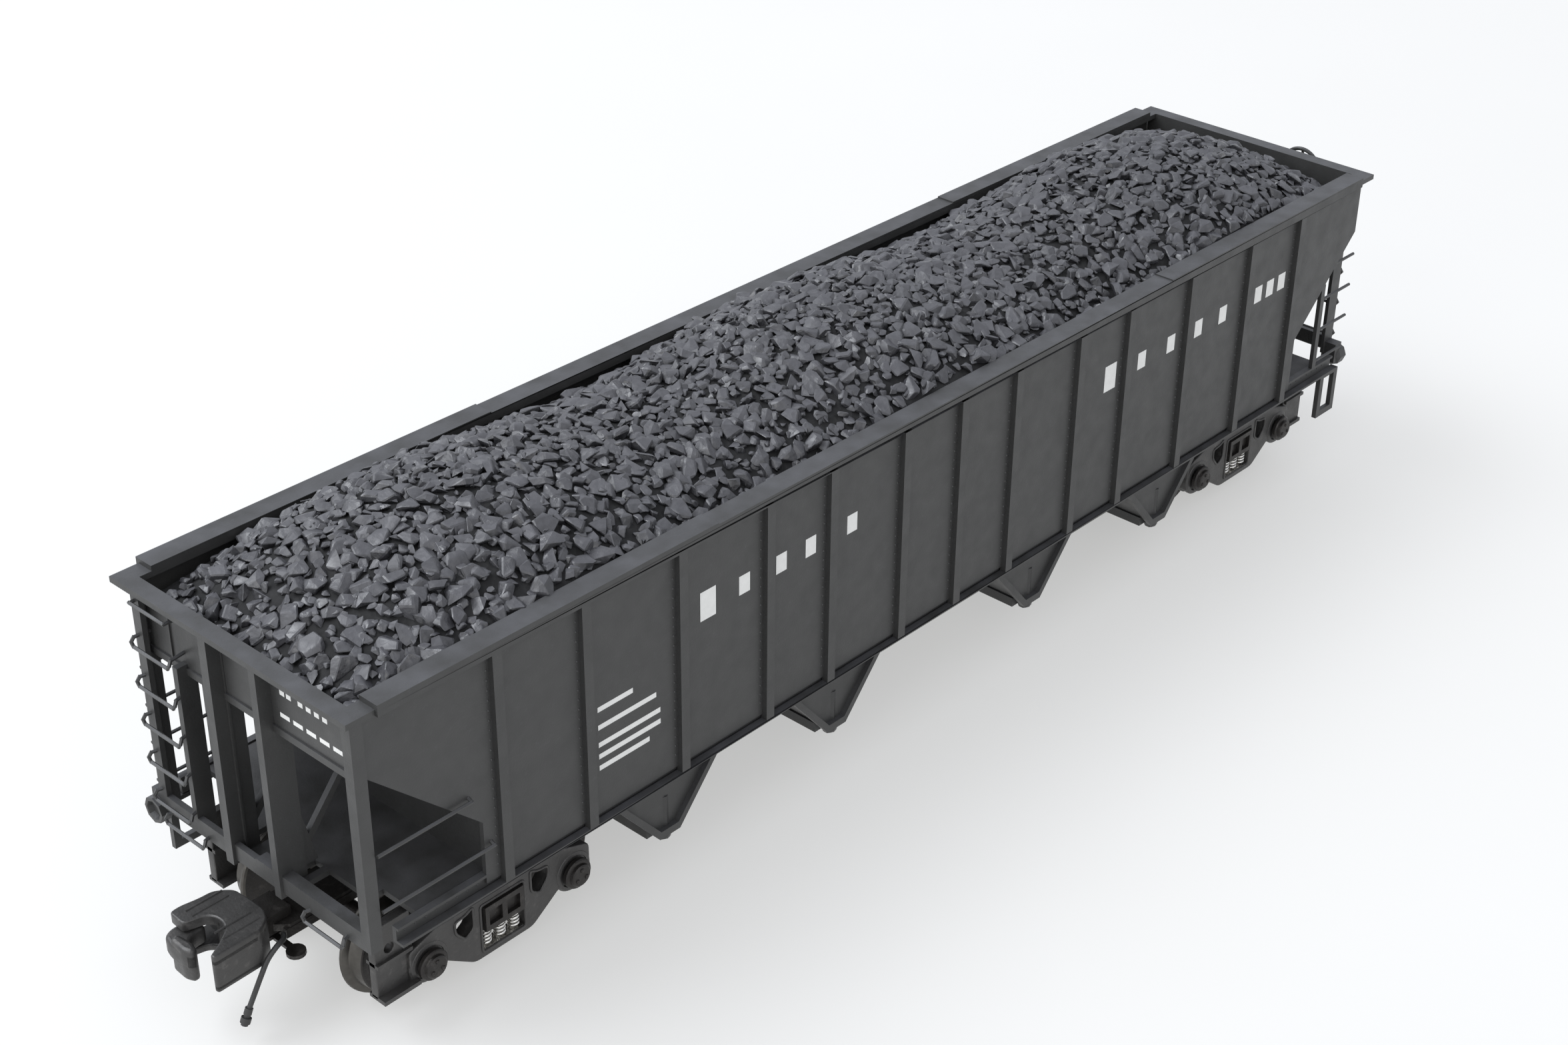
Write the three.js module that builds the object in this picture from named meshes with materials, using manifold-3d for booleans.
// O scale four-bay open hopper car with a removable coal load, in millimetres.
// +Z is up, +X runs to the brake-wheel end, and the origin is on the rail top under the car's middle.
import * as THREE from "three";
import { mergeVertices } from "three/addons/utils/BufferGeometryUtils.js";
import Module from "manifold-3d";

const wasm = await Module();
wasm.setup();

// ---- driving dimensions -------------------------------------------------------------------------

// body
const HALF_LENGTH = 160; // middle of the car to the lip of the end flange
const HALF_WIDTH = 33.35; // centre line to the edge of the top flange
const POST_FACE = 34; // centre line to the outer face of the side posts and the raised chord
const SHEET_FACE = 32.8; // centre line to the outer face of the side sheet
const SHEET = 1; // thickness of side and slope sheets
const FLANGE_TOP = 78;
const FLANGE = 1.2; // thickness of the top flange
const FLANGE_REACH = 4.1; // how far the side flange reaches in
const END_FLANGE_REACH = 3.6;
const CHORD_RISE = 1.1; // raised strip on the side flange
const CHORD_WIDTH = 4.75;
const CHORD_START = 153.8;
const CHORD_STEP_AT = 73; // the strip is a little taller outside this distance from the middle
const CHORD_STEP = 0.3;
const FASCIA_BOTTOM = 76.7;
const SHEET_BOTTOM = 28.5;
const SILL_TOP = 30.5;
const SILL_BOTTOM = 26.9;
const SILL_HALF_LENGTH = 152.9;
const LIP = 0.6; // thickness of the sill's lower lip
const POST_WIDTH = 2.2;
const POSTS = [0, 18.2, 40.4, 58.6, 82.4, 106.8, 127.8]; // distances from the middle, each way

// windows at the ends of each side
const WINDOW_TOP = { x: 156.6, z: 65.1 };
const WINDOW_ELBOW = { x: 132.4, z: 42.3 };
const LADDER_SHEET_END = 155.5; // the side sheet stops here beside a ladder
const LADDER_STILE = { from: 143, to: 144.6 };
const LADDER_STEPS = [57.4, 49, 40.5, 31.8];
const WIRE = 0.38; // radius of grab irons and rungs
const WIRE_STANDOFF = 0.9;
const WINDOW_GRABS = [
  { z: 49, inner: 135.3, outer: 156.2 },
  { z: 36.9, inner: 130.8, outer: 156.2 },
];

// end frames
const END_FACE = 159.3;
const PANEL_FACE = 157; // the end panel stands back between its posts
const PANEL_BOTTOM = 63.3;
const HEM = { rise: 1.5, depth: 0.35 }; // folded lower edge of the end panel
const PANEL_LADDER_EDGE = 28.4;
const END_POSTS = [
  { y: 6.4, width: 2.2, bottom: 27.8 },
  { y: -7.8, width: 1.8, bottom: 27.7 },
];
const END_POST_DEPTH = 5.5;
const POST_FIN = { reach: 0.5, half: 0.2 }; // thin fin down the deeper end post
const PANEL_RIB = { from: 20.3, to: 20.7, bottom: 64.8, top: 75.2 };
const LADDER_STILE_TOP = 65.5; // the inner ladder stile laps over the panel
const END_BRACE = { foot: 158.6, from: 30.9, head: 142.3, to: 50.5, width: 2.2, half: 0.6 };
const END_SILL = { bottom: 28.8, top: 32.3 };
const CORNER_LEG = { y: 2.4, x: 2.7, thickness: 0.8 };
const LADDER_INNER = { from: 16.4, to: 17.8, depth: 4 };
const END_RUNGS = [66, 57.4, 49, 40.5, 31.8];
const SILL_GRABS = [
  { from: 13.8, to: 24.6 },
  { from: -26.6, to: -16.4 },
];

// floor, slopes and hoppers
const INSIDE = 30.9; // centre line to whatever spans the body inside the side sheets
const SLOPE_END = 156;
const SLOPE_TOP = 64.2;
const SLOPE_KNEE = { x: 116.5, z: 28 };
const SLOPE_FOOT = 100.2;
const HOPPERS = [-83.2, -33.6, 33.6, 83.2];
const HOPPER_HALF = 16.2; // half the hopper's length at its top
const HOPPER_TOP = 26.6;
const OUTLET_HALF = 2.4;
const OUTLET_Z = 10.8;
const HOPPER_SIDE = 28.8;
const OUTLET_BOTTOM = 9;
const LATCH_Y = 27.2;
const LATCH_BOTTOM = 8;
const PLATFORM = {
  top: 30.2, thickness: 1.2, back: 131.3, front: 147.4, lip: 150.5, lip_half: 22, end: 157.6,
};
const PLATFORM_TONGUES = [[-10.7, -9.1], [-6.5, 4.4], [7.9, 10.7]]; // strips of floor that reach the end sill
const BULKHEAD = 1.2; // thickness of the wall from the body bolster up to the slope sheet
const BODY_BOLSTER = { from: 119.5, to: 130.5, bottom: 24.9, top: 27.6 };
const CENTRE_SILL = { half: 5, bottom: 27, top: 31.5, length: 153 };
const RIDGES = [
  { x: 0, half: 16.6 },
  { x: -58.6, half: 8 },
  { x: 58.6, half: 8 },
];
const CROSS_BRACES = [-58.6, 0, 58.6];
const BRACE = { half: 1.2, bottom: 62, top: 67.6 };

// coal load
const COAL = { half_x: 155.6, half_y: 28.9, bottom: 68, edge: 76.3, crown: 8.6, wave: 2.1 };
const COAL_PITCH = 108; // distance between the heaps

// trucks
const TRUCK_X = 123.5;
const HALF_WHEELBASE = 18;
const AXLE_Z = 11.9;
const FLANGE_R = 11.9;
const TREAD_R = 10.2;
const WHEEL_BACK = 14.3; // centre line to the back of the wheel
const WHEEL_FRONT = 18.8;
const AXLE_R = 1.5;
const FRAME_IN = 22.6;
const FRAME_OUT = 25.9;
const CAP_IN = 26.4;
const CAP_OUT = 28.4;
const CAP_R = 3.1;
const BEARING_R = 4.4;
const FRAME_WINDOW = { half: 5.4, bottom: 6.1, top: 17.1 };
const BOLSTER_END = { half: 4.7, bottom: 10.9, top: 16.6, out: 26.6 };
const SPRINGS = [-3.5, 0, 3.5];
const SPRING_R = 1.25;
const BRACKET = { in: 21, out: 29.5, bottom: 9.2, top: 25.6 };

// coupler
const COUPLER_Z = { bottom: 14.5, top: 22 };
const ARM_TIP = 161.4; // distance from the middle of the car to where the arm meets the head
const KNUCKLE_PIN = { x: 171.6, y: 5.6, r: 0.7 };

// brake gear
const TANK_FLOOR = 30.6;
const BRAKE_WHEEL = { x: 163.4, y: -11, z: 72.4, r: 5.6, rim: 0.55 };

const GAP = 0.3; // running clearance between separate pieces

// ---- materials ----------------------------------------------------------------------------------

function material(hex, roughness, metalness) {
  return new THREE.MeshStandardMaterial({ color: hex, roughness, metalness });
}
const BODY_PLASTIC = material(0x30302f, 0.5, 0);
const FITTING_PLASTIC = material(0x2a2a29, 0.55, 0);
const COAL_RESIN = material(0x131316, 0.35, 0);
const BLACKENED_METAL = material(0x2b2826, 0.45, 0.7);
const WHEEL_STEEL = material(0x35322f, 0.35, 0.9);
const SPRING_STEEL = material(0xb8b6b0, 0.25, 1);
const SCREW_STEEL = material(0x6d6a66, 0.3, 1);

// ---- solids -------------------------------------------------------------------------------------

// A closed geometry as a manifold solid.
function solid(geometry) {
  const bare = geometry.index ? geometry.toNonIndexed() : geometry;
  bare.deleteAttribute("normal");
  bare.deleteAttribute("uv");
  const merged = mergeVertices(bare, 1e-4);
  return new wasm.Manifold(
    new wasm.Mesh({
      numProp: 3,
      vertProperties: merged.attributes.position.array,
      triVerts: new Uint32Array(merged.index.array),
    }),
  );
}

function geometryOf(made) {
  const mesh = made.getMesh();
  const geometry = new THREE.BufferGeometry();
  geometry.setAttribute("position", new THREE.BufferAttribute(mesh.vertProperties, 3));
  geometry.setIndex(new THREE.BufferAttribute(mesh.triVerts, 1));
  return geometry;
}

function join(solids) {
  return solids.reduce((sum, next) => sum.add(next));
}

function box(x0, x1, y0, y1, z0, z1) {
  const geometry = new THREE.BoxGeometry(x1 - x0, y1 - y0, z1 - z0);
  geometry.translate((x0 + x1) / 2, (y0 + y1) / 2, (z0 + z1) / 2);
  return solid(geometry);
}

// An outline of [a, b] points swept along one axis: (a, b) is (x, z) along Y, (y, z) along X, (x, y) along Z.
function prism(outline, axis, from, to, curveSegments = 8) {
  const drawn = outline instanceof THREE.Shape;
  const shape = drawn ? outline : new THREE.Shape(outline.map(([a, b]) => new THREE.Vector2(a, b)));
  const geometry = new THREE.ExtrudeGeometry(shape, { depth: to - from, bevelEnabled: false, curveSegments });
  if (axis === "y") {
    geometry.rotateX(Math.PI / 2);
    geometry.translate(0, to, 0);
  } else if (axis === "x") {
    geometry.rotateY(Math.PI / 2);
    geometry.rotateX(Math.PI / 2);
    geometry.translate(from, 0, 0);
  } else {
    geometry.translate(0, 0, from);
  }
  return solid(geometry);
}

// A round bar from one point to another.
function rod(start, end, radius, sides = 8) {
  const from = new THREE.Vector3(...start);
  const to = new THREE.Vector3(...end);
  const geometry = new THREE.CylinderGeometry(radius, radius, from.distanceTo(to), sides);
  const turn = new THREE.Quaternion();
  turn.setFromUnitVectors(new THREE.Vector3(0, 1, 0), to.clone().sub(from).normalize());
  geometry.applyQuaternion(turn);
  geometry.translate(...from.add(to).multiplyScalar(0.5).toArray());
  return solid(geometry);
}

// Round bar bent at sharp corners through a list of points; each length runs on into the next one.
function wire(points, radius = WIRE, sides = 5) {
  const bars = points.slice(1).map((end, i) => {
    const from = new THREE.Vector3(...points[i]);
    const to = new THREE.Vector3(...end);
    const more = to.clone().sub(from).setLength(radius * 0.5);
    return rod(from.sub(more).toArray(), to.add(more).toArray(), radius, sides);
  });
  return join(bars);
}

// A profile of [radius, distance] points turned about the Y axis.
function turned(profile, segments) {
  const points = profile.map(([radius, along]) => new THREE.Vector2(radius, along));
  return solid(new THREE.LatheGeometry(points, segments));
}

function node(name, made, finish) {
  const mesh = new THREE.Mesh(geometryOf(made), finish);
  mesh.name = name;
  return mesh;
}

// ---- body ---------------------------------------------------------------------------------------

// The side that stands at -Y: its window is plain at the -X end and holds the ladder at the +X end.
function sideSheet() {
  const shape = new THREE.Shape();
  const end = END_FACE - 1.1;
  const ladderSlope = (WINDOW_TOP.z - WINDOW_ELBOW.z) / (WINDOW_TOP.x - WINDOW_ELBOW.x);
  const ladderTop = WINDOW_ELBOW.z + ladderSlope * (LADDER_SHEET_END - WINDOW_ELBOW.x);
  shape.moveTo(-end, FLANGE_TOP - FLANGE);
  shape.lineTo(-end, WINDOW_TOP.z);
  shape.lineTo(-WINDOW_TOP.x, WINDOW_TOP.z);
  shape.lineTo(-WINDOW_ELBOW.x, WINDOW_ELBOW.z);
  shape.lineTo(-WINDOW_ELBOW.x, SHEET_BOTTOM);
  shape.lineTo(WINDOW_ELBOW.x, SHEET_BOTTOM);
  shape.lineTo(WINDOW_ELBOW.x, WINDOW_ELBOW.z);
  shape.lineTo(LADDER_SHEET_END, ladderTop);
  shape.lineTo(LADDER_SHEET_END, FLANGE_TOP - FLANGE);
  return prism(shape, "y", -SHEET_FACE, SHEET - SHEET_FACE);
}

function sidePosts() {
  const places = POSTS.flatMap((x) => (x === 0 ? [0] : [-x, x]));
  const half = POST_WIDTH / 2;
  const top = FASCIA_BOTTOM + 0.2;
  return places.map((x) => box(x - half, x + half, -POST_FACE, 0.3 - SHEET_FACE, SILL_BOTTOM, top));
}

function topChord() {
  const inner = -HALF_WIDTH + FLANGE_REACH;
  const reach = HALF_LENGTH - END_FLANGE_REACH;
  const fascia = box(-CHORD_START, CHORD_START, -POST_FACE, 0.2 - SHEET_FACE, FASCIA_BOTTOM, FLANGE_TOP);
  const flange = box(-reach, reach, -HALF_WIDTH, inner, FLANGE_TOP - FLANGE, FLANGE_TOP);
  const low = CHORD_RISE - CHORD_STEP;
  const edge = CHORD_WIDTH - POST_FACE;
  const strip = box(-CHORD_START, CHORD_START, -POST_FACE, edge, FLANGE_TOP - 0.2, FLANGE_TOP + low);
  const ends = [-1, 1].map((way) => {
    const [from, to] = [way * CHORD_STEP_AT, way * CHORD_START].sort((a, b) => a - b);
    return box(from, to, -POST_FACE, edge, FLANGE_TOP, FLANGE_TOP + CHORD_RISE);
  });
  return [fascia, flange, strip, ...ends];
}

function sideSill() {
  const web = box(-SILL_HALF_LENGTH, SILL_HALF_LENGTH, -32.2, -31.2, SILL_BOTTOM, SILL_TOP);
  const lip = box(-SILL_HALF_LENGTH, SILL_HALF_LENGTH, -POST_FACE, -31.2, SILL_BOTTOM, SILL_BOTTOM + LIP);
  const cap = box(WINDOW_ELBOW.x - 2, SILL_HALF_LENGTH, -SHEET_FACE, -31.2, SILL_TOP - LIP, SILL_TOP);
  const otherCap = box(-SILL_HALF_LENGTH, 2 - WINDOW_ELBOW.x, -SHEET_FACE, -31.2, SILL_TOP - LIP, SILL_TOP);
  return [web, lip, cap, otherCap];
}

function windowGrabs() {
  const out = -SHEET_FACE - WIRE_STANDOFF;
  return WINDOW_GRABS.map(({ z, inner, outer }) =>
    wire([
      [-outer, out, z],
      [-inner, out, z],
      [-inner, -SHEET_FACE + 0.5, z + 0.6],
    ]),
  );
}

function sideLadder() {
  const slope = (WINDOW_TOP.z - WINDOW_ELBOW.z) / (WINDOW_TOP.x - WINDOW_ELBOW.x);
  const stileTop = WINDOW_ELBOW.z + slope * (LADDER_STILE.from - WINDOW_ELBOW.x) + 1;
  const { from, to } = LADDER_STILE;
  const stile = box(from, to, -SHEET_FACE, SHEET - SHEET_FACE, SILL_TOP - LIP, stileTop);
  const middle = SHEET / 2 - SHEET_FACE;
  const rungs = LADDER_STEPS.map((z) =>
    rod([from + 0.6, middle, z], [LADDER_SHEET_END + 1.6, middle, z], WIRE, 6),
  );
  return [stile, ...rungs];
}

function carSide(name) {
  const made = join([
    sideSheet(),
    ...sidePosts(),
    ...topChord(),
    ...sideSill(),
    ...windowGrabs(),
    ...sideLadder(),
  ]);
  return node(name, made, BODY_PLASTIC);
}

// The end that stands at -X: its ladder is on the +Y side.
function endPanel() {
  const top = FLANGE_TOP - FLANGE;
  const back = END_FLANGE_REACH - HALF_LENGTH;
  const plainEdge = -INSIDE - 0.6;
  const flange = box(
    -HALF_LENGTH, END_FLANGE_REACH - HALF_LENGTH, -HALF_WIDTH, HALF_WIDTH, top, FLANGE_TOP,
  );
  const panel = box(-PANEL_FACE, back, plainEdge, PANEL_LADDER_EDGE, PANEL_BOTTOM, top + 0.2);
  const hemFace = -PANEL_FACE - HEM.depth;
  const hem = box(hemFace, back, plainEdge, PANEL_LADDER_EDGE, PANEL_BOTTOM, PANEL_BOTTOM + HEM.rise);
  const rib = box(hemFace, back, PANEL_RIB.from, PANEL_RIB.to, PANEL_RIB.bottom, PANEL_RIB.top);
  return [flange, panel, hem, rib];
}

function cornerPosts() {
  const plainY = -SHEET_FACE - 0.5;
  const leg = CORNER_LEG.thickness;
  const bottom = END_SILL.bottom;
  const top = FLANGE_TOP - FLANGE + 0.1;
  const outsideSheet = -SHEET_FACE - 0.02;
  const edge = PANEL_LADDER_EDGE;
  return [
    box(-END_FACE, leg - END_FACE, plainY, plainY + CORNER_LEG.y, bottom, top),
    box(-END_FACE, CORNER_LEG.x - END_FACE, plainY, outsideSheet, bottom, top),
    box(-END_FACE, 0.3 + leg - END_FACE, edge - CORNER_LEG.y, edge, bottom, top),
    box(-END_FACE, 3.8 - END_FACE, edge - leg, edge, bottom, PANEL_BOTTOM + 0.2),
    box(-END_FACE, 0.5 - PANEL_FACE, edge - leg, edge, PANEL_BOTTOM, top),
  ];
}

function endPosts() {
  const front = -END_FACE - 0.6;
  const top = FLANGE_TOP - FLANGE + 0.1;
  const deep = END_POSTS.flatMap(({ y, width, bottom }) => {
    const [y0, y1] = [y - width / 2, y + width / 2];
    return [
      box(front, END_POST_DEPTH - END_FACE, y0, y1, bottom, PANEL_BOTTOM + 0.4),
      box(front, 0.5 - PANEL_FACE, y0, y1, PANEL_BOTTOM, top),
    ];
  });
  const { y: finPost, width: finWidth, bottom: finBottom } = END_POSTS[0];
  const finY = finPost - finWidth / 2;
  const fin = box(
    -PANEL_FACE - POST_FIN.half, POST_FIN.half - PANEL_FACE, finY - POST_FIN.reach, finY + 0.1, finBottom, top,
  );
  const gusset = prism(
    [[-END_FACE + 1, 32], [-END_FACE + END_POST_DEPTH - 0.5, 46], [-END_FACE + 8.2, 32]],
    "y", END_POSTS[1].y - 0.7, END_POSTS[1].y + 0.7,
  );
  const { foot, from, head, to, width: across, half } = END_BRACE;
  const strip = [[-foot, from], [across - foot, from], [across * 0.5 - head, to - across * 0.3], [-head, to]];
  const braces = END_POSTS.map(({ y }) => prism(strip, "y", y - half, y + half));
  const { from: inner, to: outer, depth } = LADDER_INNER;
  const stile = box(-END_FACE, depth - END_FACE, inner, outer, END_SILL.bottom, PANEL_BOTTOM + 0.2);
  const stileHead = box(-END_FACE, 0.5 - PANEL_FACE, inner, outer, PANEL_BOTTOM, LADDER_STILE_TOP);
  return [...deep, fin, gusset, ...braces, stile, stileHead];
}

function endSill() {
  const { bottom, top } = END_SILL;
  const beam = box(-END_FACE, 1.2 - END_FACE, -SHEET_FACE - 0.4, PANEL_LADDER_EDGE, bottom, top);
  const shelf = box(-END_FACE, 2.5 - END_FACE, -SHEET_FACE, -1, top - 0.6, top + 0.3);
  const pocket = turned(
    [[0, 0], [1.8, 0], [1.8, 0.6], [2.8, 1.4], [2.8, 3.8], [2.1, 3.8], [1.7, 2.8], [0, 2.8]], 8,
  );
  const cup = pocket.rotate([0, 0, 90]).translate([-END_FACE + 2.6, 29.6, 27.9]);
  const bridge = box(-END_FACE + 0.2, 3 - END_FACE, 27.6, 31.4, 26.6, 31.8);
  return [beam, shelf, cup, bridge];
}

// Bent end of a rung: out from the frame, round and down to the level of the rung.
function rungEnd(root, out, y, z, way) {
  return [
    [root, y, z + 1.8],
    [out + 0.5, y + way * 0.4, z + 1.7],
    [out, y + way * 0.6, z + 0.8],
    [out, y, z],
  ];
}

function rung(root, out, from, to, z) {
  return wire([...rungEnd(root, out, to, z, 1), ...rungEnd(root, out, from, z, -1).reverse()]);
}

function endGrabs() {
  const out = -END_FACE - 1.4;
  const face = -END_FACE + 0.4;
  const panel = -PANEL_FACE + 0.4;
  const ladderFrom = LADDER_INNER.from + 0.6;
  const ladderTo = PANEL_LADDER_EDGE - 1.1;
  const rungs = END_RUNGS.map((z) => {
    const root = z + 1.8 > LADDER_STILE_TOP ? panel : face;
    return rung(root, out, ladderFrom, ladderTo, z);
  });
  const { top: height } = PANEL_RIB;
  const top = wire([
    [panel, 27.3, height],
    [out + 0.4, 27.3, height],
    [out + 0.4, 17, height],
    [panel, 17, height],
  ]);
  const low = SILL_GRABS.map(({ from, to }) => rung(face, out, from, to, END_SILL.bottom - 1.2));
  return [...rungs, top, ...low];
}

function endFrame(name) {
  const made = join([...endPanel(), ...cornerPosts(), ...endPosts(), ...endSill(), ...endGrabs()]);
  return node(name, made, BODY_PLASTIC);
}

// The stirrup step under the ladder, as seen on the +Y side of the -X end.
function stirrup(name) {
  const strap = 1;
  const [x0, x1] = [-155.6, -147.6];
  const [y0, y1] = [32, 33.2];
  const top = SILL_BOTTOM - 0.3;
  const step = 14.6;
  const made = join([
    box(x0, x0 + 1.6, y0, y1, step, top),
    box(x1 - 1.6, x1, y0, y1, step, top),
    box(x0, x1, y0, y1, step, step + strap + 0.6),
    box(x0, x1, y0 - 0.8, y1, top - 1, top),
  ]);
  return node(name, made, BODY_PLASTIC);
}

// Slope sheet over the -X truck, level over the inner wheels.
function slopeSheet(name) {
  const { x, z } = SLOPE_KNEE;
  const outline = [
    [-SLOPE_END, SLOPE_TOP], [-x, z], [-SLOPE_FOOT, z], [-SLOPE_FOOT, z + SHEET],
    [-x + 0.4, z + SHEET], [-SLOPE_END + 1.2, SLOPE_TOP],
  ];
  const clear = (from, to, depth) => box(-END_FACE - 1, depth + GAP - END_FACE, from - GAP, to + GAP, 50, 80);
  const notches = [
    ...END_POSTS.map(({ y, width }) => clear(y - width / 2, y + width / 2, END_POST_DEPTH)),
    clear(LADDER_INNER.from, LADDER_INNER.to, LADDER_INNER.depth),
    clear(PANEL_LADDER_EDGE - CORNER_LEG.y, INSIDE, 3.8),
  ];
  return node(name, prism(outline, "y", -INSIDE, INSIDE).subtract(join(notches)), BODY_PLASTIC);
}

// Floor of the open end with its openings over the outer wheels, the body bolster and the bulkhead behind it.
function platform(name) {
  const { top, thickness, back, front, lip, lip_half: lipHalf, end } = PLATFORM;
  const under = top - thickness;
  const floor = box(-front, -back + 0.2, -INSIDE, INSIDE, under, top);
  const nose = box(-lip, -front + 0.2, -lipHalf, lipHalf, under, top);
  const tongues = PLATFORM_TONGUES.map(([from, to]) => box(-end, -lip + 0.2, from, to, under, top));
  const slope = (SLOPE_TOP - SLOPE_KNEE.z) / (SLOPE_END - SLOPE_KNEE.x);
  const underSlope = (x) => SLOPE_TOP - slope * (SLOPE_END - x) - 1.6 * GAP;
  const wall = [
    [-back, BODY_BOLSTER.bottom], [BULKHEAD - back, BODY_BOLSTER.bottom],
    [BULKHEAD - back, underSlope(back - BULKHEAD)], [-back, underSlope(back)],
  ];
  const bulkhead = prism(wall, "y", -INSIDE, INSIDE);
  const { from, to, bottom, top: bolsterTop } = BODY_BOLSTER;
  const bolster = box(-to, -from, -INSIDE, INSIDE, bottom, bolsterTop);
  const seat = rod([-TRUCK_X, 0, 24], [-TRUCK_X, 0, bottom + 0.5], 6, 12);
  return node(name, join([floor, nose, ...tongues, bulkhead, bolster, seat]), FITTING_PLASTIC);
}

function centreSill() {
  const { half, bottom, top, length } = CENTRE_SILL;
  const foot = -SLOPE_FOOT + GAP;
  const beam = box(foot, -foot, -half, half, bottom, top);
  const ridges = RIDGES.map(({ x, half: reach }) =>
    prism([[x - reach, bottom], [x + reach, bottom], [x, bottom + reach]], "y", -INSIDE, INSIDE),
  );
  return node("centre_sill", join([beam, ...ridges]), BODY_PLASTIC);
}

function latchPost(y, way) {
  const post = rod([0, y, OUTLET_BOTTOM], [0, y, 19], 1.3, 8);
  const bulb = new THREE.SphereGeometry(1.8, 8, 5);
  bulb.translate(0, y, LATCH_BOTTOM + 1.8);
  const gusset = prism([[-5.6, 17], [0, 10.5], [0, 17]], "y", y - 0.5, y + 0.5);
  return [post, solid(bulb), gusset].map((piece) => piece.translate([0, way * 0.6, 0]));
}

function hopper(name, x) {
  const wall = 1.3;
  const side = [
    [-HOPPER_HALF, HOPPER_TOP], [-OUTLET_HALF, OUTLET_Z], [OUTLET_HALF, OUTLET_Z], [HOPPER_HALF, HOPPER_TOP],
  ];
  const inner = [
    [wall * 1.42 - HOPPER_HALF, HOPPER_TOP + 1], [-OUTLET_HALF, OUTLET_Z + 2.4],
    [OUTLET_HALF, OUTLET_Z + 2.4], [HOPPER_HALF - wall * 1.42, HOPPER_TOP + 1],
  ];
  const trough = prism(side, "y", -HOPPER_SIDE, HOPPER_SIDE).subtract(
    prism(inner, "y", wall - HOPPER_SIDE, HOPPER_SIDE - wall),
  );
  const lip = OUTLET_HALF + 1.4;
  const frame = box(-lip, lip, -LATCH_Y, LATCH_Y, OUTLET_BOTTOM + 0.6, OUTLET_Z + 1);
  const edges = [-1, 1].map((way) => {
    const y = way * HOPPER_SIDE;
    const strip = [
      [-HOPPER_HALF - 0.5, HOPPER_TOP], [-OUTLET_HALF - 0.4, OUTLET_Z - 0.5],
      [OUTLET_HALF + 0.4, OUTLET_Z - 0.5], [HOPPER_HALF + 0.5, HOPPER_TOP],
      [HOPPER_HALF - 1.2, HOPPER_TOP], [OUTLET_HALF, OUTLET_Z + 1.2],
      [-OUTLET_HALF, OUTLET_Z + 1.2], [-HOPPER_HALF + 1.2, HOPPER_TOP],
    ];
    return prism(strip, "y", Math.min(y, y + way * 1.2), Math.max(y, y + way * 1.2));
  });
  const latches = [-1, 1].flatMap((way) => latchPost(way * LATCH_Y, way));
  const made = join([trough, frame, ...edges, ...latches]).translate([x, 0, 0]);
  return node(name, made, BODY_PLASTIC);
}

function crossBrace(name, x) {
  const { half, bottom, top } = BRACE;
  return node(name, box(x - half, x + half, -INSIDE, INSIDE, bottom, top), BODY_PLASTIC);
}

// ---- coal load ----------------------------------------------------------------------------------

// Height of the heap: three rounded heaps in a row that fall away to the walls.
function coalHeight(x, y) {
  const across = 1 - Math.pow(Math.abs(y) / COAL.half_y, 2.4);
  const along = 1 - Math.pow(Math.abs(x) / COAL.half_x, 16);
  const wave = COAL.wave * Math.cos((2 * Math.PI * x) / COAL_PITCH);
  return COAL.edge - 3.2 * (1 - along) + (COAL.crown * across + wave) * along;
}

function coalLoad() {
  const [columns, rows] = [30, 8];
  const block = new THREE.BoxGeometry(2 * COAL.half_x, 2 * COAL.half_y, 2, columns, rows, 1);
  const places = block.attributes.position;
  for (let i = 0; i < places.count; i++) {
    const [x, y] = [places.getX(i), places.getY(i)];
    places.setZ(i, places.getZ(i) > 0 ? coalHeight(x, y) : COAL.bottom);
  }
  return node("coal_load", solid(block), COAL_RESIN);
}

// ---- brake gear ---------------------------------------------------------------------------------

function brakeWheel() {
  const { x, y, z, r, rim } = BRAKE_WHEEL;
  const ring = new THREE.TorusGeometry(r - rim, rim, 4, 16);
  ring.rotateY(Math.PI / 2);
  const hub = rod([-1.2, 0, 0], [0.8, 0, 0], 1.1, 10);
  const spokes = [0, 1, 2, 3, 4].map((i) => {
    const angle = (2 * Math.PI * i) / 5;
    return rod([0, 0, 0], [0, (r - rim) * Math.sin(angle), (r - rim) * Math.cos(angle)], 0.42, 6);
  });
  const made = join([solid(ring), hub, ...spokes]);
  const wheel = node("brake_wheel", made, FITTING_PLASTIC);
  wheel.position.set(x, y, z);
  return wheel;
}

function brakeHousing() {
  const { x, y, z } = BRAKE_WHEEL;
  const back = PANEL_FACE + GAP;
  const front = END_FACE + 2.25;
  const chain = END_FACE + 1.45;
  const made = join([
    box(back, front, y - 2.6, y + 2.6, z - 4.6, z + 2.6),
    rod([front - 0.2, y, z], [x - 1.5, y, z], 0.8, 10),
    rod([chain, y, z - 4], [chain, y, PANEL_BOTTOM - 21], 0.3, 6),
  ]);
  return node("brake_housing", made, FITTING_PLASTIC);
}

function airTank(name, x, y, radius, length) {
  const z = TANK_FLOOR + radius;
  const cap = radius * 0.35;
  const profile = [
    [0, -length / 2 - cap], [radius * 0.7, -length / 2 - cap * 0.6], [radius, -length / 2],
    [radius, length / 2], [radius * 0.7, length / 2 + cap * 0.6], [0, length / 2 + cap],
  ];
  const footHalf = radius * 0.6;
  const feet = [-0.3, 0.3].map((part) =>
    box(-footHalf, footHalf, part * length - 0.6, part * length + 0.6, -radius - 0.1, 0),
  );
  const made = join([turned(profile, 14), ...feet]).translate([x, y, z]);
  return node(name, made, FITTING_PLASTIC);
}

// ---- trucks: built at the car's middle with -X as the outboard way, then moved to their ends --------

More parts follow.
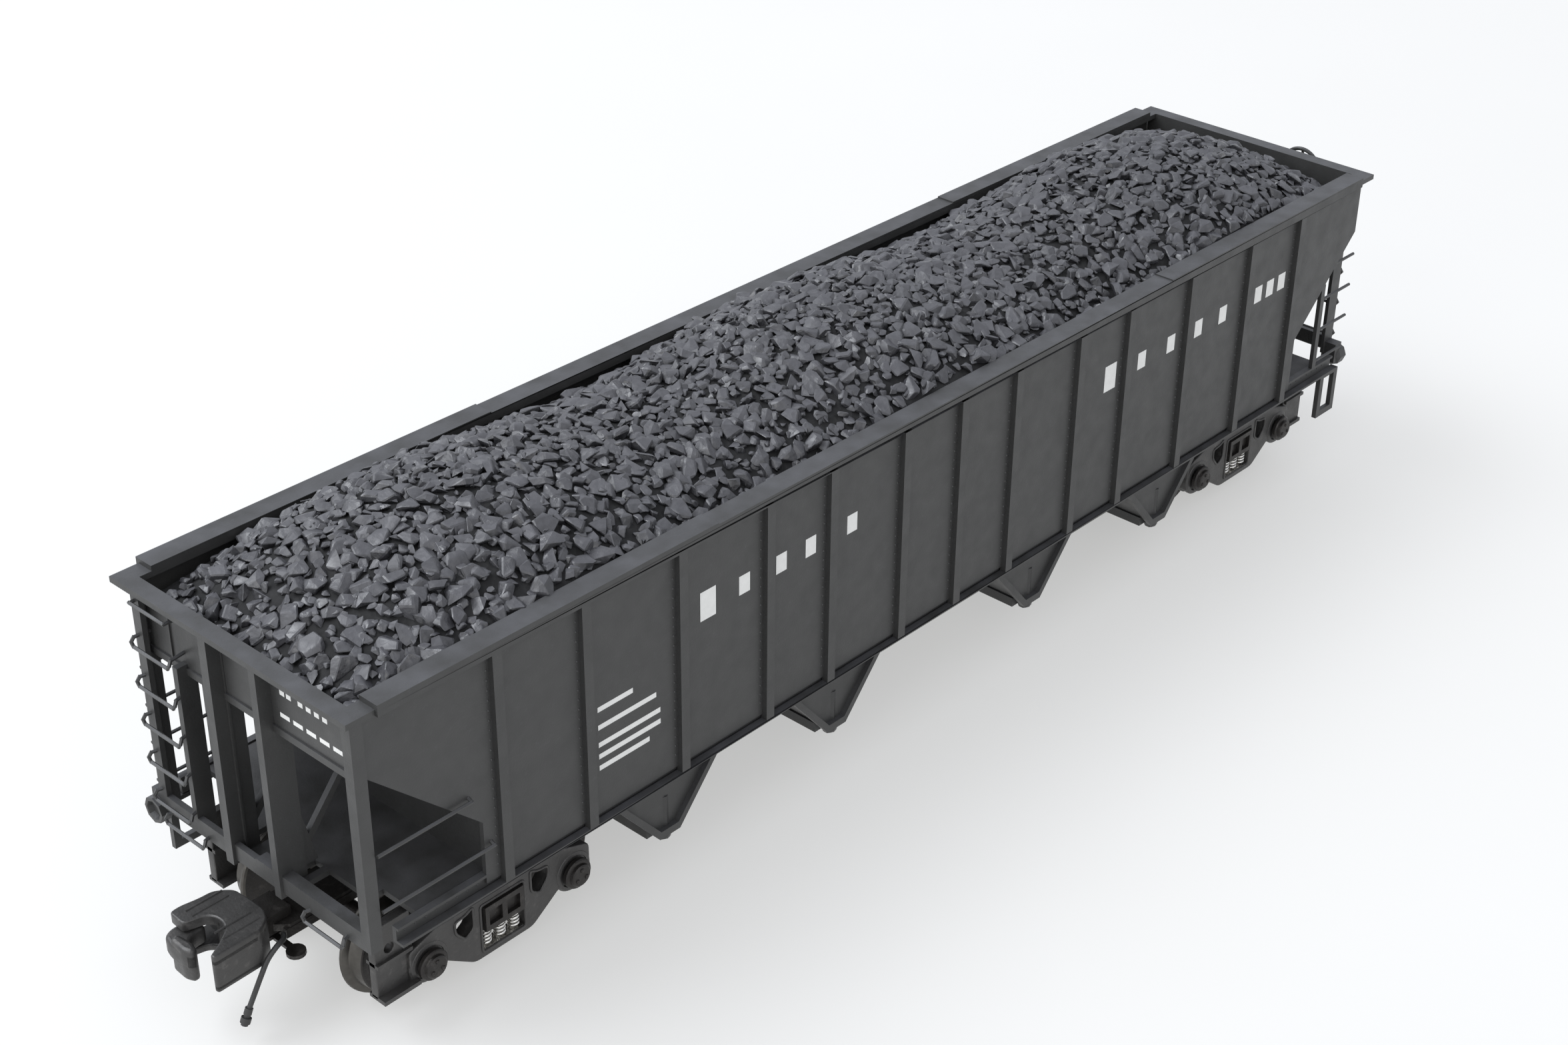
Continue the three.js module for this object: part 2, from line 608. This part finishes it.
function sideFrameOutline() {
  const shape = new THREE.Shape();
  const half = [
    [0, 4.7], [7.2, 4.7], [12.8, 8.6], [14.2, 9.6], [22.4, 9.2],
    [22.4, 16.2], [15.4, 18.6], [8, 20.4], [0, 20.4],
  ];
  half.forEach(([x, z], i) => (i ? shape.lineTo(x, z) : shape.moveTo(x, z)));
  half.slice(0, -1).reverse().forEach(([x, z]) => shape.lineTo(-x, z));
  return shape;
}

function sideFrame(name, side) {
  const [y0, y1] = side < 0 ? [-FRAME_OUT, -FRAME_IN] : [FRAME_IN, FRAME_OUT];
  const cut = (x0, x1, z0, z1) => box(x0, x1, y0 - 1, y1 + 1, z0, z1);
  const heart = (x) =>
    prism(
      [[x - 2.3, 16.8], [x - 2.3, 14.4], [x, 11.9], [x + 2.1, 13.2], [x + 2.1, 18], [x, 18.4]].map(([a, b]) => [
        x > 0 ? 2 * x - a : a, b,
      ]),
      "y", y0 - 1, y1 + 1,
    );
  const { half, bottom, top } = FRAME_WINDOW;
  const plate = prism(sideFrameOutline(), "y", y0, y1);
  const bearings = [-1, 1].map((way) => {
    const x = way * HALF_WHEELBASE;
    return rod([x, side * (FRAME_IN - 0.4), AXLE_Z], [x, side * (CAP_IN - 0.3), AXLE_Z], BEARING_R, 12);
  });
  const { in: inner, out, bottom: low, top: high } = BRACKET;
  const bracket = box(-out, -inner, y0 + 0.8, y1 - 0.6, low, high);
  const foot = box(-out, -inner, y0 - 1.2, y1 - 0.1, low, low + 0.9);
  const shelf = box(-out, -inner - 0.4, y0, y1, 16.9, 17.7);
  const bracketHole = rod([-26.1, y0 - 2, 19.8], [-26.1, y1 + 2, 19.8], 1.1, 8);
  const bores = [-1, 1].map((way) => {
    const x = way * HALF_WHEELBASE;
    return rod([x, y0 - 3, AXLE_Z], [x, y1 + 3, AXLE_Z], AXLE_R + GAP, 8);
  });
  const made = join([plate, ...bearings, bracket, foot, shelf])
    .subtract(join([cut(-half, half, bottom, top), heart(-9.3), heart(9.3), bracketHole, ...bores]));
  return node(name, made, BLACKENED_METAL);
}

function bolster(name) {
  const { half, bottom, top, out } = BOLSTER_END;
  const pockets = [-1, 1].flatMap((side) =>
    [-2.2, 2.2].map((x) => box(x - 1.6, x + 1.6, side * out - 0.9, side * out + 0.9, bottom + 1.2, top - 1.2)),
  );
  const made = join([
    box(-half, half, -out, out, bottom, top),
    box(-half - 1.2, half + 1.2, -19.5, 19.5, 13.8, 19.6),
    rod([0, 0, 19], [0, 0, 23.7], 6.6, 12),
  ]).subtract(join([...pockets, rod([0, 0, 10], [0, 0, 25], 1.5 + GAP, 12)]));
  return node(name, made, BLACKENED_METAL);
}

function springGroup(name, side) {
  const [seat, top] = [FRAME_WINDOW.bottom + 0.1, BOLSTER_END.bottom - 0.15];
  const y = side * (FRAME_OUT - 1.4);
  const coils = SPRINGS.map((x) => {
    const turns = 2;
    const rise = (top - seat) / (2 * turns);
    const profile = [[0, 0]];
    for (let i = 0; i <= 2 * turns; i++) profile.push([i % 2 ? SPRING_R : SPRING_R * 0.78, i * rise]);
    profile.push([0, top - seat]);
    return turned(profile, 8).rotate([90, 0, 0]).translate([x, y, seat]);
  });
  const plate = box(-5, 5, y - 1.2, y + 1.2, seat, seat + 0.4);
  return node(name, join([plate, ...coils]), SPRING_STEEL);
}

function wheel(name, x, side) {
  const profile = [
    [AXLE_R + 0.03, WHEEL_BACK], [FLANGE_R - 0.5, WHEEL_BACK], [FLANGE_R, WHEEL_BACK + 0.6],
    [FLANGE_R - 0.5, WHEEL_BACK + 1.2], [TREAD_R + 0.1, WHEEL_BACK + 1.5], [TREAD_R - 0.15, WHEEL_FRONT],
    [TREAD_R - 1.6, WHEEL_FRONT], [TREAD_R - 2.2, WHEEL_FRONT - 1.4], [3.6, WHEEL_FRONT - 1.4],
    [3, WHEEL_FRONT], [AXLE_R + 0.03, WHEEL_FRONT], [AXLE_R + 0.03, WHEEL_BACK],
  ];
  const made = turned(profile, 16);
  const placed = node(name, side < 0 ? made.rotate([0, 0, 180]) : made, WHEEL_STEEL);
  placed.position.set(x, 0, AXLE_Z);
  return placed;
}

// Axle with the roller-bearing end caps that turn with it.
function axle(name, x) {
  const half = [
    [AXLE_R, 0], [AXLE_R, CAP_IN + 0.1], [CAP_R, CAP_IN + 0.1], [CAP_R, CAP_OUT - 0.7],
    [CAP_R * 0.72, CAP_OUT - 0.5],
    [CAP_R * 0.66, CAP_OUT], [0, CAP_OUT],
  ];
  const profile = [...half.slice(1).reverse().map(([r, y]) => [r, -y]), ...half.slice(1)];
  const placed = node(name, turned(profile, 12), WHEEL_STEEL);
  placed.position.set(x, 0, AXLE_Z);
  return placed;
}

function kingpin(name) {
  const shank = rod([0, 0, 10], [0, 0, 23.4], 1.3, 12);
  const washer = rod([0, 0, 8.9], [0, 0, 10.6], 2.6, 12);
  return node(name, join([shank, washer]), SCREW_STEEL);
}

// ---- couplers: in the truck's frame, so their X counts from the truck's middle ------------------------

const shift = (x) => TRUCK_X - x; // distance from the car's middle to truck frame, outboard negative

function couplerArm(name) {
  const { bottom, top } = COUPLER_Z;
  const tip = shift(ARM_TIP);
  const outline = [
    [tip, -2.6], [tip, 3.2], [tip + 2.6, 3.2], [tip + 5, 5], [-10, 5], [-8, 6.4], [-6.2, 6.4],
    [-6.2, -6.4], [-8, -6.4], [-10, -5], [tip + 5, -5], [tip + 2.6, -2.6],
  ];
  const tongue = prism(outline, "z", 16.2, 17.8);
  const ribs = [-1, 1].map((way) => box(tip + 4, -9, way * 4.6 - 0.5, way * 4.6 + 0.5, 15, 17));
  const cover = box(tip, tip + 7, -2.8, 3.4, bottom + 1, top - 2.2);
  return node(name, join([tongue, ...ribs, cover]), BLACKENED_METAL);
}

function pinBoreAt({ x, y, r }) {
  return rod([shift(x), y, 13], [shift(x), y, 24], r + 0.1, 10);
}

function couplerHead(name) {
  const { bottom, top } = COUPLER_Z;
  const shape = new THREE.Shape();
  const outer = [
    [172.2, 8.6], [170.4, 8.6], [166.4, 7.9], [163.7, 8], [161.7, 6.6], [160.5, 5.2], [160.5, 3.4],
    [159.9, 0.8], [159.9, -3], [161.4, -5.6], [164, -7.4], [174.2, -7.5],
  ];
  outer.forEach(([x, y], i) => (i ? shape.lineTo(shift(x), y) : shape.moveTo(shift(x), y)));
  shape.quadraticCurveTo(shift(174.9), -7.2, shift(174.2), -6.4);
  shape.quadraticCurveTo(shift(169.2), -5.6, shift(167.5), -1.2);
  shape.quadraticCurveTo(shift(167.2), 1.8, shift(168.3), 2.6);
  shape.lineTo(shift(168.3), 8.2 - 5.6);
  shape.lineTo(shift(172.2), 2.9);
  const head = prism(shape, "z", bottom, top, 6);
  const knuckleRoom = box(shift(176), shift(167.6), 2.2, 9.4, bottom + 1.5, top - 1.3);
  const pinBore = pinBoreAt(KNUCKLE_PIN);
  const socket = box(shift(ARM_TIP + GAP), shift(159), -3.1, 3.7, bottom - 1, top + 1);
  return node(name, head.subtract(join([knuckleRoom, pinBore, socket])), BLACKENED_METAL);
}

function knuckle(name) {
  const shape = new THREE.Shape();
  shape.moveTo(shift(169), 7.4);
  shape.lineTo(shift(173.4), 7.6);
  shape.quadraticCurveTo(shift(176), 6.4, shift(176), 3.6);
  shape.lineTo(shift(175.9), -0.6);
  shape.quadraticCurveTo(shift(174.7), -2.2, shift(173.5), -0.8);
  shape.quadraticCurveTo(shift(173.6), 2.4, shift(171.6), 3.2);
  shape.lineTo(shift(169), 3.2);
  const { bottom, top } = COUPLER_Z;
  const body = prism(shape, "z", bottom + 1.8, top - 1.6, 6);
  const tip = [[174, 4.6], [175.9, 4], [175.9, -0.5], [174.9, -1.4], [173.7, -0.6], [173.6, 2.6]];
  const finger = prism(tip.map(([x, y]) => [shift(x), y]), "z", bottom - 0.3, top + 0.8);
  return node(name, join([body, finger]).subtract(pinBoreAt(KNUCKLE_PIN)), BLACKENED_METAL);
}

function knucklePin(name) {
  const { bottom, top } = COUPLER_Z;
  const { x, y, r } = KNUCKLE_PIN;
  const made = join([
    rod([shift(x), y, bottom - 0.4], [shift(x), y, top + 0.5], r, 10),
    rod([shift(x), y, top + 0.12], [shift(x), y, top + 0.6], r + 0.4, 10),
  ]);
  return node(name, made, SCREW_STEEL);
}

function uncouplingTab(name) {
  const made = join([
    box(shift(163), shift(152), -1.5, 1.5, 13.2, 13.9),
    rod([shift(157.5), -7.6, 13.1], [shift(157.5), -7.6, 13.9], 1.9, 14),
    box(shift(158.2), shift(156.8), -7, 0, 13.2, 13.9),
  ]);
  return node(name, made, BLACKENED_METAL);
}

// Moulded brake hose with its glad hand, on a bracket on the arm.
function airHose(name) {
  const y = -8;
  const route = [
    [158.4, -5, 17], [160.6, y, 17.6], [163, y, 16.6], [165.2, y, 14], [167, y, 11.2], [169.4, y, 7.2],
  ];
  const points = route.map(([x, across, z]) => [shift(x), across, z]);
  const hose = wire(points, 0.55, 6);
  const fitting = wire([[shift(169.3), y, 7.4], [shift(170.3), y, 4.4]], 0.85, 6);
  return node(name, join([hose, fitting]), FITTING_PLASTIC);
}

function truck(end) {
  const group = new THREE.Group();
  group.add(sideFrame(`${end}_truck_frame_left`, -1), sideFrame(`${end}_truck_frame_right`, 1));
  group.add(bolster(`${end}_truck_bolster`), kingpin(`${end}_kingpin_screw`));
  group.add(springGroup(`${end}_springs_left`, -1), springGroup(`${end}_springs_right`, 1));
  [["outer", -HALF_WHEELBASE], ["inner", HALF_WHEELBASE]].forEach(([place, x]) => {
    group.add(axle(`${end}_${place}_axle`, x));
    group.add(wheel(`${end}_${place}_wheel_left`, x, -1), wheel(`${end}_${place}_wheel_right`, x, 1));
  });
  group.add(couplerArm(`${end}_coupler_arm`), couplerHead(`${end}_coupler_head`));
  group.add(knuckle(`${end}_knuckle`), knucklePin(`${end}_knuckle_pin`));
  group.add(uncouplingTab(`${end}_uncoupling_tab`), airHose(`${end}_air_hose`));
  return group;
}

// ---- the car ------------------------------------------------------------------------------------

// The car is the same after half a turn, so each far piece is the near one turned about the middle.
function turnedAbout(mesh) {
  mesh.rotation.z = Math.PI;
  return mesh;
}

const car = new THREE.Group();
car.add(carSide("left_side"), turnedAbout(carSide("right_side")));
car.add(endFrame("near_end_frame"), turnedAbout(endFrame("far_end_frame")));
car.add(stirrup("near_stirrup"), turnedAbout(stirrup("far_stirrup")));
car.add(slopeSheet("near_slope_sheet"), turnedAbout(slopeSheet("far_slope_sheet")));
car.add(platform("near_platform"), turnedAbout(platform("far_platform")));
car.add(centreSill(), coalLoad(), brakeWheel(), brakeHousing());
HOPPERS.forEach((x, i) => car.add(hopper(`hopper_${i + 1}`, x)));
CROSS_BRACES.forEach((x, i) => car.add(crossBrace(`cross_brace_${i + 1}`, x)));
car.add(airTank("brake_cylinder", 138, -21, 3.1, 7), airTank("air_reservoir", 138, 14, 3.3, 14));

const nearTruck = truck("near");
nearTruck.position.x = -TRUCK_X;
const farTruck = truck("far");
farTruck.position.x = TRUCK_X;
farTruck.rotation.z = Math.PI;
car.add(nearTruck, farTruck);

export default car;
